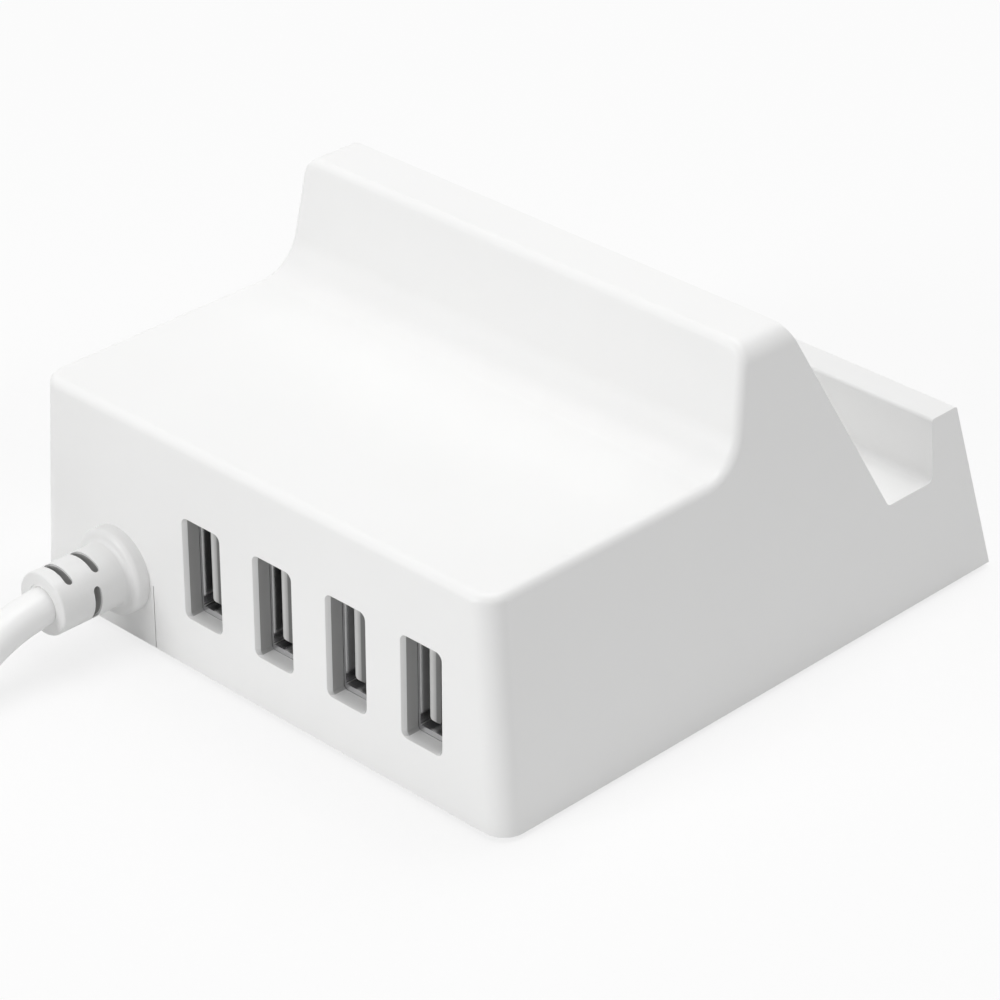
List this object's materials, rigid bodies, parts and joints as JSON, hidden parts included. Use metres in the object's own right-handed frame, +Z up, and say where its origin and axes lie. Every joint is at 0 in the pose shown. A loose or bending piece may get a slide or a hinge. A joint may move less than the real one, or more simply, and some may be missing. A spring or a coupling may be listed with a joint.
{
  "type": "multi port usb desktop charger",
  "caption": "White desktop USB charging dock with upright type A sockets and a captive mains cord on one face and a sloping backrest with a groove for a tablet.",
  "frame": {"origin": "middle of the housing's footprint, on the table under the feet", "axes": "+Z up, +X along the row of sockets, +Y from the port face towards the user's side"},
  "size_m": [0.1399, 0.1823, 0.0476],
  "materials": {
    "housing": "fine satin moulding",
    "base": "fine satin moulding",
    "foot": "matt rubber",
    "screw": "zinc plated",
    "bezel": "smooth moulding",
    "usb_metal": "bright tinned sheet",
    "usb_plastic": "smooth moulding",
    "contact": "gold flash",
    "board": "solder mask",
    "ferrite": "ground ferrite",
    "tape": "polyester tape",
    "black_plastic": "moulded",
    "can_sleeve": "shrink sleeve",
    "film_case": "potted case",
    "ceramic": "dipped coating",
    "copper": "enamelled wire",
    "heatsink": "rolled plate",
    "brown_lead": "insulated wire",
    "blue_lead": "insulated wire",
    "cord_white": "soft white PVC",
    "tie_white": "coated wire tie",
    "pin_metal": "nickel plated"
  },
  "bodies": {
    "root": {"upper_housing": "housing", "base_cover": "base", "case_screws": "screw", "main_board": "board", "transformer_core": "ferrite", "transformer_bobbin": "black_plastic", "transformer_winding": "tape", "mains_fuse": "film_case", "line_capacitor": "film_case", "bridging_capacitor": "ceramic", "bridge_rectifier": "black_plastic", "choke_core": "ferrite", "choke_windings": "copper", "switch_heatsink": "heatsink", "switch_transistor": "black_plastic", "output_heatsink": "heatsink", "output_rectifier": "black_plastic", "optocoupler": "black_plastic", "power_controller": "black_plastic", "live_lead": "brown_lead", "neutral_lead": "blue_lead", "cord_gland": "cord_white", "mains_cord": "cord_white", "cord_coil": "cord_white", "coil_tie": "tie_white", "cord_tail": "cord_white", "plug_body": "cord_white", "plug_pins": "pin_metal", "rubber_foot_1": "foot", "port_bezel_1": "bezel", "usb_shell_1": "usb_metal", "usb_insulator_1": "usb_plastic", "usb_contacts_1": "contact", "rubber_foot_2": "foot", "port_bezel_2": "bezel", "usb_shell_2": "usb_metal", "usb_insulator_2": "usb_plastic", "usb_contacts_2": "contact", "rubber_foot_3": "foot", "port_bezel_3": "bezel", "usb_shell_3": "usb_metal", "usb_insulator_3": "usb_plastic", "usb_contacts_3": "contact", "rubber_foot_4": "foot", "port_bezel_4": "bezel", "usb_shell_4": "usb_metal", "usb_insulator_4": "usb_plastic", "usb_contacts_4": "contact", "output_capacitor_1": "can_sleeve", "output_capacitor_2": "can_sleeve", "output_capacitor_3": "can_sleeve", "bulk_capacitor_1": "can_sleeve", "port_controller_1": "black_plastic", "bulk_capacitor_2": "can_sleeve", "port_controller_2": "black_plastic"}
  },
  "joints": []
}
